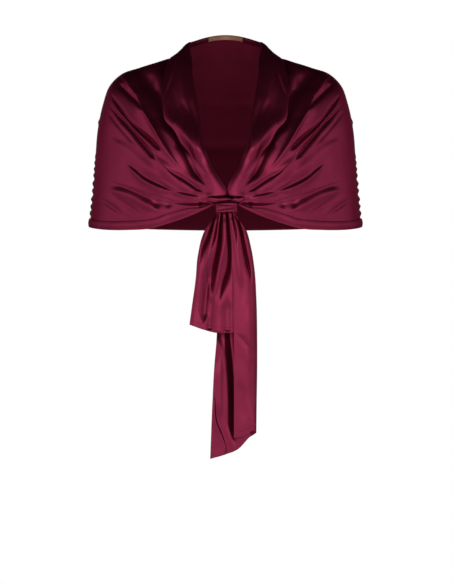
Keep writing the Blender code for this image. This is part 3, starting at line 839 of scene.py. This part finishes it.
# The hem band of each front: a folded strip, stitched along its top and rolled round the hem.
hemBand = dict(
    along=(0.00, 0.055, 0.14, 0.285, 0.42, 0.715, 1.00),
    width=(0.0030, 0.0045, 0.0095, 0.0135, 0.0135, 0.0120, 0.0120),
    faces=(168, 18), wall=0.9 * mm, lift=2.2 * mm, topTuck=0.9 * mm, roll=1.5 * mm, behind=0.009,
    stitchIn=2.2 * mm, stitchesFrom=24, run=0.27, pucker=0.011, back=1.4 * mm,
)


def hemGrid():
    along = evenShares(hemBand["faces"][0])
    width = curveThrough(hemBand["along"], hemBand["width"], along)
    shares = evenShares(hemBand["faces"][1])  # from its top to the hem
    down = downAtWidths(frontForm, along, width[:, None] * shares[::-1], fromHem=True)
    base, normal, tangent = stripOn(frontForm, along, down)
    gone = along * hemBand["run"]
    wave = 0.9 * mm * ripple(gone, 0.0, 0.050, 31)[:, None] * (0.4 + 0.6 * shares)
    pucker = np.sin(2 * math.pi * gone / hemBand["pucker"] + 2.5 * np.sin(along * 21))[:, None]
    lift = hemBand["lift"] + wave + 0.15 * mm * pucker * shares + 0.9 * mm * np.sin(math.pi * shares)
    lift = lift + seamDip((1 - along)[:, None] * hemBand["run"])
    face = base + normal * lift[..., None]
    top = rolledLines(face[:, 0], normal[:, 0], -tangent[:, 0], hemBand["topTuck"], (150, 110, 70, 35))
    radius = (lift[:, -1:] + hemBand["back"]) / 2
    angles = np.linspace(20, 180, 9)
    foot = rolledLines(face[:, -1], normal[:, -1], tangent[:, -1], radius, angles, hemBand["roll"])
    for run in np.linspace(0.2, 1, 4) * hemBand["behind"]:
        foot.append(face[:, -1] - normal[:, -1] * 2 * radius - tangent[:, -1] * run)
    row = int(np.argmin(np.abs(shares * width.mean() - hemBand["stitchIn"])))
    return withRolls(top, face, foot), padded(normal, len(top), len(foot)), face[:, row], normal[:, row]


hemPoints, hemOutward, hemStitch, hemStitchOut = hemGrid()
hemBands = {}
for side, flip in twoSides.items():
    piece = clothPiece(f"hem_band_{side}", hemPoints * flip, hemOutward * flip, hemBand, clothSides)
    start = hemBand["stitchesFrom"]  # clear of the knot
    line, lineOut = hemStitch[start:] * flip, hemStitchOut[start:] * flip
    stitches = stitchRow(f"hem_stitches_{side}", line, lineOut, stitching)
    hemBands[side] = (piece, stitches)
row = int(backPanel["faces"][1] * backPanel["stitchedAt"])
backStitches = stitchRow("hem_stitches_back", backPoints[2:-2, row], backNormal[2:-2, row], stitching)
print("hems made")

# The label: a short bare ribbon inside the back of the neck.
neckLabel = dict(width=0.062, height=0.0045, over=0.0030, wall=0.5 * mm, inside=0.0030, faces=(40, 10))


def labelGrid():
    fromCentre = (evenShares(neckLabel["faces"][0]) - 0.5) * neckLabel["width"]
    across = 0.5 + np.degrees(np.arcsin(fromCentre / ringTable[0][0])) / 180
    shares = evenShares(neckLabel["faces"][1])
    depths = -neckLabel["over"] + (neckLabel["height"] + neckLabel["over"]) * shares
    depths = np.broadcast_to(depths, (len(across), len(shares)))
    down = downAtWidths(backForm, across, np.maximum(depths, 0))
    base, normal, _ = stripOn(backForm, across, down)
    bow = 0.4 * mm * np.cos(fromCentre / neckLabel["width"] * 9)[:, None] * shares
    inside = neckLabel["inside"] + bow
    points = base - normal * inside[..., None]
    points[..., 2] += np.maximum(-depths, 0)  # its top is caught in the roll of the neck edge
    points += normal * (np.maximum(-depths, 0) * 0.5)[..., None]
    return points, -normal


label = clothPiece("neck_label", *labelGrid(), neckLabel, [copperRibbon], slot="label")
print("label made")

# The knot: a band round the gathered tails, and a rolled fold on each side that runs in behind it.
knotBand = dict(
    centreX=0.0016, centreY=-0.1500, halfDepth=0.0098, lean=0.24, squareness=2.6,
    wall=0.9 * mm, faces=(96, 26),
    rows=((-0.2682, 0.0178), (-0.2724, 0.0181), (-0.2766, 0.0184), (-0.2806, 0.0186)),
    turnIn=2.2 * mm, tilt=0.0011,
    # height on it, slope, depth in mm, width
    wrinkles=((0.12, 0.16, -0.5, 0.10), (0.60, -0.20, -0.35, 0.16)),
)


def bandGrid():
    turn = np.linspace(0, 2 * math.pi, knotBand["faces"][0], endpoint=False)[:, None]
    shares = evenShares(knotBand["faces"][1])[None, :]
    rows = np.array(knotBand["rows"])
    z, halfWidth = (curveThrough(np.linspace(0, 1, len(rows)), rows[:, k], shares) for k in (0, 1))
    x = np.sin(turn)
    y = -np.cos(turn)
    power = knotBand["squareness"]
    square = (np.abs(x) ** power + np.abs(y) ** power) ** (-1 / power)
    front = np.clip(-y, 0, 1)
    wrinkle = 0.0
    for at, lean, deep, wide in knotBand["wrinkles"]:
        ridge = np.exp(-(((shares - at - lean * x) / wide) ** 2))
        wrinkle = wrinkle + deep * mm * ridge * (0.4 + 0.6 * np.abs(x))
    depth = (knotBand["halfDepth"] + wrinkle) * y * square
    px = knotBand["centreX"] + halfWidth * x * square
    py = knotBand["centreY"] + depth + knotBand["lean"] * (z - rows[-1][0]) * front
    face = np.stack([px, py, z + knotBand["tilt"] * x * front], axis=-1)
    out = unit(np.broadcast_to(np.stack([x * square, y * square, np.zeros_like(x)], axis=-1), face.shape))
    up = np.array([0, 0, 1])
    angles = (25, 50, 75, 100, 130, 160)
    top = rolledLines(face[:, 0], out[:, 0], up, knotBand["turnIn"], angles)
    foot = rolledLines(face[:, -1], out[:, -1], -0.6 * up, knotBand["turnIn"], angles)
    return withRolls(top[::-1], face, foot), padded(out, len(top), len(foot))


band = clothPiece("knot_band", *bandGrid(), knotBand, [burgundySatin], closed=True)

knotFolds = {
    "left": dict(
        outer=(0.0325, -0.2590), inner=(0.0100, -0.2618), radius=(0.0022, 0.0038, 0.0044, 0.0042, 0.0020)
    ),
    "right": dict(
        outer=(-0.0310, -0.2598), inner=(0.0135, -0.2606), radius=(0.0030, 0.0044, 0.0054, 0.0030, 0.0006)
    ),
}
foldShape = dict(
    y=-0.1482, along=(0, 0.08, 0.40, 0.72, 1.0),
    turn=(-125, 95), squash=0.9, behind=0.014, wall=0.8 * mm, faces=(56, 26),
)


def foldGrid(fold):
    # round the front of the roll from its foot, over its top, then up behind the slit
    share = evenShares(foldShape["faces"][0])[:, None]
    radius = curveThrough(foldShape["along"], fold["radius"], share)
    turn = np.radians(np.linspace(*foldShape["turn"], foldShape["faces"][1] + 1))[None, :]
    x, z = (outer + (inner - outer) * share for outer, inner in zip(fold["outer"], fold["inner"]))
    crinkle = 1 + 0.10 * np.sin(7 * share + 2 * turn)
    y = foldShape["y"] - foldShape["squash"] * radius * crinkle * np.cos(turn)
    face = np.stack(np.broadcast_arrays(x, y, z + radius * crinkle * np.sin(turn)), axis=-1)
    behind = foldShape["behind"]
    wall = []
    for k in range(6):
        back = math.sin((0.2 + 0.16 * k) * math.pi / 2)
        rise = (0.15 + 0.17 * k) * (k / 5) ** 1.5
        wall.append(face[:, -1] + np.array([0, back, rise]) * behind)
    points = withRolls([face[:, 0]], face[:, 1:], wall)
    return points, facingFront(points)


def facingFront(points):
    outward = np.zeros_like(points)
    outward[..., 1] = -1
    return outward


for side, fold in knotFolds.items():
    clothPiece(f"knot_fold_{side}", *foldGrid(fold), foldShape, [burgundySatin])
print("knot made")

# The short tail hangs in pleats from inside the band.
shortTail = dict(
    # height, left edge, right edge
    rows=(
        (-0.2710, -0.0145, 0.0085),
        (-0.2850, -0.0165, 0.0105),
        (-0.3139, -0.0355, 0.0130),
        (-0.3543, -0.0463, 0.0138),
        (-0.3930, -0.0500, 0.0141),
        (-0.4400, -0.0565, 0.0141),
        (-0.4850, -0.0625, 0.0141),
    ),
    hem=((0.00, -0.4715), (0.35, -0.4805), (0.60, -0.4850), (1.00, -0.4850)),
    y=-0.1540, faces=(112, 180), wall=0.9 * mm, stitchUp=0.010,
    creases={
        "outer gap": crease(
            -9.0, (1.8, 1.7), (-15.5, -277, -17, -285, -21, -300, -29, -326, -39, -349, -45, -376),
            fade=(0.02, 0.4), grow=2.6, sharp=True
        ),
        "second gap": crease(
            -9.0, (1.5, 1.8), (-5.5, -277, -6.5, -290, -8, -304, -10, -335, -17, -374, -22, -402, -21, -432),
            fade=(0.02, 0.3), grow=2.8, sharp=True
        ),
        "third gap": crease(
            -10.0, (2.2, 1.4), (0.6, -277, 2.6, -290, 4.5, -318, 7, -346, 5, -378, -3, -404, -12, -436),
            fade=(0.02, 0.3), grow=2.4, sharp=True
        ),
        "right shade": crease(-3.5, (5, 5), (9, -284, 11, -310, 13, -350, 13, -395), fade=(0.1, 0.4)),
        "first pleat": crease(
            -4.5, (1.6, 1.8), (-11, -277, -13, -295, -17, -322, -25, -350), fade=(0.02, 0.4)
        ),
        "outer low trough": crease(
            -6.5, (5, 7), (-27, -350, -30, -392, -33, -430, -37, -474), fade=(0.35, 0.2)
        ),
        "outer ridge": crease(2.5, (4, 5), (-12, -284, -24, -330, -30, -372, -34, -420), fade=(0.1, 0.3)),
        "middle ridge": crease(
            3.0, (5, 4), (-2, -288, -2, -330, -9, -366, -15, -400, -18, -440), fade=(0.1, 0.4)
        ),
        "edge roll": crease(-3.5, (4, 4), (-26, -300, -40, -326, -50, -362, -60, -420), fade=(0.2, 0.2)),
        "foot swell": crease(2.2, (9, 8), (-8, -410, -11, -450, -12, -486), fade=(0.4, 0.05)),
        "foot hollow": crease(-2.2, (6, 6), (2, -420, 3, -455, 3, -486), fade=(0.4, 0.1)),
        "foot fold": crease(-3.0, (4, 5), (-21, -418, -25, -450, -27, -484), fade=(0.3, 0.1)),
    },
)


def tailRows(tail, z):
    table = np.array(tail["rows"])
    fall = -table[:, 0]
    return [curveThrough(fall, table[:, k], -z) for k in range(1, table.shape[1])]


def tailShares(tail):
    across, down = evenGrid(tail["faces"])
    hem = np.array(tail["hem"])
    foot = curveThrough(hem[:, 0], hem[:, 1], across)
    top = tail["rows"][0][0]
    return across, down, top + (foot - top) * down


def shortTailGrid():
    across, down, z = tailShares(shortTail)
    left, right = tailRows(shortTail, z)
    x = left + (right - left) * across
    height = creasesHeight(x, z, shortTail["creases"])
    height = height + 0.5 * mm * ripple(x, z, 0.055, 41)
    inBand = smoothStep((-0.276 - z) / 0.012)
    y = shortTail["y"] - height * inBand + (1 - inBand) * 0.003
    y = y + 0.0025 * smoothStep((0.10 - across) / 0.10) + 0.002 * smoothStep((across - 0.94) / 0.06)
    return np.stack([x, y, z], axis=-1)


shortPoints = shortTailGrid()
tailShort = clothPiece("tail_short", shortPoints, facingFront(shortPoints), shortTail, [burgundySatin])

# The long tail is one strip folded back behind itself: a front layer, a turn at its side, a back layer.
longTail = dict(
    # height, free edge, front turn, back turn, back edge, front y, back y
    rows=(
        (-0.2710, 0.0050, 0.0135, 0.0130, -0.0110, -0.1505, -0.1452),
        (-0.2845, 0.0060, 0.0150, 0.0140, -0.0112, -0.1505, -0.1450),
        (-0.3095, 0.0085, 0.0284, 0.0270, -0.0135, -0.1503, -0.1385),
        (-0.3390, 0.0100, 0.0363, 0.0345, -0.0135, -0.1503, -0.1365),
        (-0.3761, 0.0110, 0.0415, 0.0400, -0.0138, -0.1503, -0.1350),
        (-0.4300, 0.0120, 0.0446, 0.0430, -0.0140, -0.1503, -0.1340),
        (-0.4875, 0.0140, 0.0454, 0.0440, -0.0145, -0.1503, -0.1335),
        (-0.5450, 0.0142, 0.0460, 0.0435, -0.0191, -0.1503, -0.1335),
        (-0.6025, 0.0142, 0.0464, 0.0420, -0.0221, -0.1500, -0.1340),
        (-0.6988, 0.0140, 0.0468, 0.0400, -0.0259, -0.1495, -0.1345),
    ),
    hem=(
        (0.00, -0.6624), (0.15, -0.6590), (0.27, -0.6505), (0.44, -0.6620), (0.58, -0.6800),
        (0.80, -0.6920), (1.00, -0.6988),
    ),
    frontShare=0.27, turnShare=0.17, faces=(150, 230), wall=0.9 * mm, stitchUp=0.010,
    frontCreases={
        "deep gap": crease(
            -9.5, (1.6, 1.9), (14, -276, 17, -284, 24, -305, 29.5, -330, 34, -354, 41, -385, 44, -412),
            fade=(0.02, 0.35), grow=2.4, sharp=True
        ),
        "second gap": crease(
            -5.5, (1.4, 1.4), (9, -277, 12.4, -292, 17, -315, 20, -345), fade=(0.02, 0.5), grow=2.2
        ),
        "edge shade": crease(
            -7.0, (8, 11), (26, -288, 42, -322, 50, -360, 54, -440, 55, -660), fade=(0.1, 0.2)
        ),
        "broad ridge": crease(3.0, (6, 6), (10, -284, 17, -320, 22, -360, 28, -430), fade=(0.1, 0.4)),
        "soft fold": crease(-1.5, (5, 5), (19, -300, 24, -352, 27, -400, 30, -450), fade=(0.3, 0.3)),
        "diagonal crease": crease(-1.1, (5, 3.5), (17, -484, 34, -504, 53, -534)),
        "outer soft fold": crease(1.2, (6, 7), (40, -430, 41, -500, 38, -560)),
        "low drag": crease(-0.7, (7, 7), (22, -560, 28, -600, 33, -640)),
    },
    backCreases={
        "shade fold": crease(
            -10.5, (10, 9), (4, -380, 6, -440, 9, -490, 13, -530, 16, -590, 16, -680), fade=(0.3, 0.15)
        ),
        "hem shade": crease(-4.2, (8, 9), (-16, -405, -14, -455, -9, -485, -2, -520), fade=(0.45, 0.35)),
        "pale fold": crease(2.0, (5, 6), (-8, -520, -10, -570, -9, -640)),
    },
    flap=dict(
        edge=((-19.5, -575), (-17.7, -607), (-15.5, -635), (-5, -661), (0.8, -682), (-1.7, -696)),
        rise=3.6 * mm, step=1.4 * mm,
    ),
)


def longTailGrid():
    across, down, z = tailShares(longTail)
    freeEdge, frontTurn, backTurn, backEdge, frontY, backY = tailRows(longTail, z)
    frontShare = longTail["frontShare"]
    turnEnd = frontShare + longTail["turnShare"]
    onFront = np.clip(across / frontShare, 0, 1)
    onTurn = np.clip((across - frontShare) / longTail["turnShare"], 0, 1)
    onBack = np.clip((across - turnEnd) / (1 - turnEnd), 0, 1)
    radius = (backY - frontY) / 2
    x = freeEdge + (frontTurn - freeEdge) * onFront
    x = x + (backTurn - frontTurn) * onTurn + radius * np.sin(math.pi * onTurn)
    x = x + (backEdge - backTurn) * onBack
    y = frontY + radius * (1 - np.cos(math.pi * onTurn))
    y = y - 0.25 * radius * np.sin(2 * math.pi * onBack) * smoothStep(down / 0.33)
    inBand = smoothStep((-0.276 - z) / 0.012)
    front = creasesHeight(x, z, longTail["frontCreases"]) + 0.4 * mm * ripple(x, z, 0.060, 53)
    rear = creasesHeight(x, z, longTail["backCreases"]) + 0.4 * mm * ripple(x, z, 0.050, 59)
    rear = rear + flapRise(x, z)
    onFace = 1 - smoothStep((onTurn - 0.2) / 0.6)
    y = y - (front * onFace + rear * smoothStep(onBack / 0.25) * smoothStep(down / 0.4)) * inBand
    return np.stack([x, y, z], axis=-1)


def flapRise(x, z):
    # the low outer part of the back layer is folded over itself and stands a step forward
    flap = longTail["flap"]
    edge = np.array(flap["edge"]) * mm
    edgeX = curveThrough(-edge[:, 1], edge[:, 0], np.clip(-z, -edge[0, 1], -edge[-1, 1]))
    starts = smoothStep((-z - 0.578) / 0.035)
    step = 1 / (1 + np.exp((x - edgeX) / (0.3 * flap["step"])))
    lean = np.clip((x + 0.030) / (edgeX + 0.030), 0, 1)
    return flap["rise"] * step * starts * lean


longPoints = longTailGrid()
frontLines = int(longTail["faces"][0] * longTail["frontShare"])
forward = facingFront(longPoints)
forward[frontLines:] = 0
tailLong = clothPiece("tail_long", longPoints, forward, longTail, [burgundySatin])


def tailStitches(name, tail, points, first, last):
    # a stitched hem line that keeps its distance from the hem edge
    lengths = np.linalg.norm(np.diff(points[:, ::-1], axis=1), axis=-1)
    row = points.shape[1] - 1 - int(round(tail["stitchUp"] / lengths.mean()))
    line = points[first:last, row]
    return stitchRow(name, line, facingFront(line), stitching)


shortStitches = tailStitches("tail_short_stitches", shortTail, shortPoints, 2, -2)
longStitches = tailStitches("tail_long_stitches", longTail, longPoints, 1, frontLines)
print("tails made")

# Each side's hem band and its stitch row, looked up again
for side in ("left", "right"):
    strip, stitches = hemBands[side]

# Studio: pale floor, white surround, light that is broad at eye level and dark overhead
studio = dict(
    floorZ=-1.25, floorRadius=1.5, floorColour="#f2f0ed", floorGlow=0.70,
    surround="#ffffff", level=0.88, overhead=0.003, backShare=0.30, dimFrom=0.20, dimBy=0.58,
    lowFrom=-0.30, lowTo=0.14, lowShare=0.45, facing=(-0.8, 0.9),
    key=dict(power=8.0, size=(2.6, 1.2), place=(0.0, -3.0, 0.16), aim=(0.0, 0.0, -0.15)),
    back=dict(power=9.0, size=(1.2, 0.8), place=(0.0, 3.0, 0.20), aim=(0.0, 0.1, -0.20)),
)


def floorDisc():
    turns = np.linspace(0, 2 * math.pi, 96, endpoint=False)
    rim = np.column_stack([np.cos(turns), np.sin(turns)]) * studio["floorRadius"]
    mesh = bpy.data.meshes.new("floor")
    mesh.from_pydata([(x, y, studio["floorZ"]) for x, y in rim], [], [tuple(range(96))])
    material, tree = newMaterial("paleFloorPaint")
    shader = addNode(
        tree,
        "ShaderNodeBsdfPrincipled",
        {
            "Base Color": srgb(studio["floorColour"]), "Roughness": 0.7,
            "Emission Color": srgb(studio["floorColour"]), "Emission Strength": studio["floorGlow"],
        },
    )
    addNode(tree, "ShaderNodeOutputMaterial", {"Surface": shader.outputs["BSDF"]})
    mesh.materials.append(material)
    floor = bpy.data.objects.new("floor", mesh)
    bpy.context.scene.collection.objects.link(floor)


def softSurround():
    world = bpy.data.worlds.new("softSurround")
    bpy.context.scene.world = world
    world.use_nodes = True
    tree = world.node_tree
    tree.nodes.clear()
    place = addNode(tree, "ShaderNodeTexCoord")
    parts = addNode(tree, "ShaderNodeSeparateXYZ", {"Vector": place.outputs["Generated"]})
    # dark overhead, dimmer below the horizon, brightest in front and least behind
    falls = []
    for axis, ends, levels in (
        ("Z", (studio["dimFrom"], studio["dimBy"]), (studio["level"], studio["overhead"])),
        ("Z", (studio["lowFrom"], studio["lowTo"]), (studio["lowShare"], 1.0)),
        ("Y", studio["facing"], (1.0, studio["backShare"])),
    ):
        sockets = {"Value": parts.outputs[axis], "From Min": ends[0], "From Max": ends[1]}
        sockets.update({"To Min": levels[0], "To Max": levels[1]})
        fall = addNode(tree, "ShaderNodeMapRange", sockets, interpolation_type="SMOOTHSTEP")
        falls.append(fall.outputs["Result"])
    upright = addNode(tree, "ShaderNodeMath", {0: falls[0], 1: falls[1]}, operation="MULTIPLY")
    level = addNode(tree, "ShaderNodeMath", {0: upright.outputs[0], 1: falls[2]}, operation="MULTIPLY")
    soft = addNode(tree, "ShaderNodeBackground", {"Color": srgb("#fffaf7"), "Strength": level.outputs[0]})
    seen = addNode(tree, "ShaderNodeBackground", {"Color": srgb(studio["surround"]), "Strength": 1.0})
    ray = addNode(tree, "ShaderNodeLightPath")
    mix = addNode(
        tree, "ShaderNodeMixShader", {0: ray.outputs["Is Camera Ray"], 1: soft.outputs[0], 2: seen.outputs[0]}
    )
    addNode(tree, "ShaderNodeOutputWorld", {"Surface": mix.outputs[0]})


def softLight(name):
    setting = studio[name]
    light = bpy.data.lights.new(name, "AREA")
    light.shape = "RECTANGLE"
    light.energy = setting["power"]
    light.size, light.size_y = setting["size"]
    light.color = srgb("#fff6f2")[:3]
    thing = bpy.data.objects.new(name, light)
    thing.location = setting["place"]
    aim = Vector(setting["aim"]) - Vector(setting["place"])
    thing.rotation_euler = aim.to_track_quat("-Z", "Y").to_euler()
    bpy.context.scene.collection.objects.link(thing)


floorDisc()
softSurround()
for name in ("key", "back"):
    softLight(name)
view = bpy.context.scene.view_settings
view.view_transform = "Standard"
view.look = "None"

# The camera stands four metres in front, level, and takes in 1.022 m of height at the shoulders' plane
cameraSetting = dict(place=(0.000875, -4.0, -0.4165), sees=1.022, film=36.0)
lens = bpy.data.cameras.new("camera")
lens.sensor_width = cameraSetting["film"]
lens.lens = cameraSetting["film"] * -cameraSetting["place"][1] / cameraSetting["sees"]
camera = bpy.data.objects.new("camera", lens)
camera.location = cameraSetting["place"]
camera.rotation_euler = (math.radians(90), 0, 0)
bpy.context.scene.collection.objects.link(camera)
bpy.context.scene.camera = camera
print("studio and camera set")
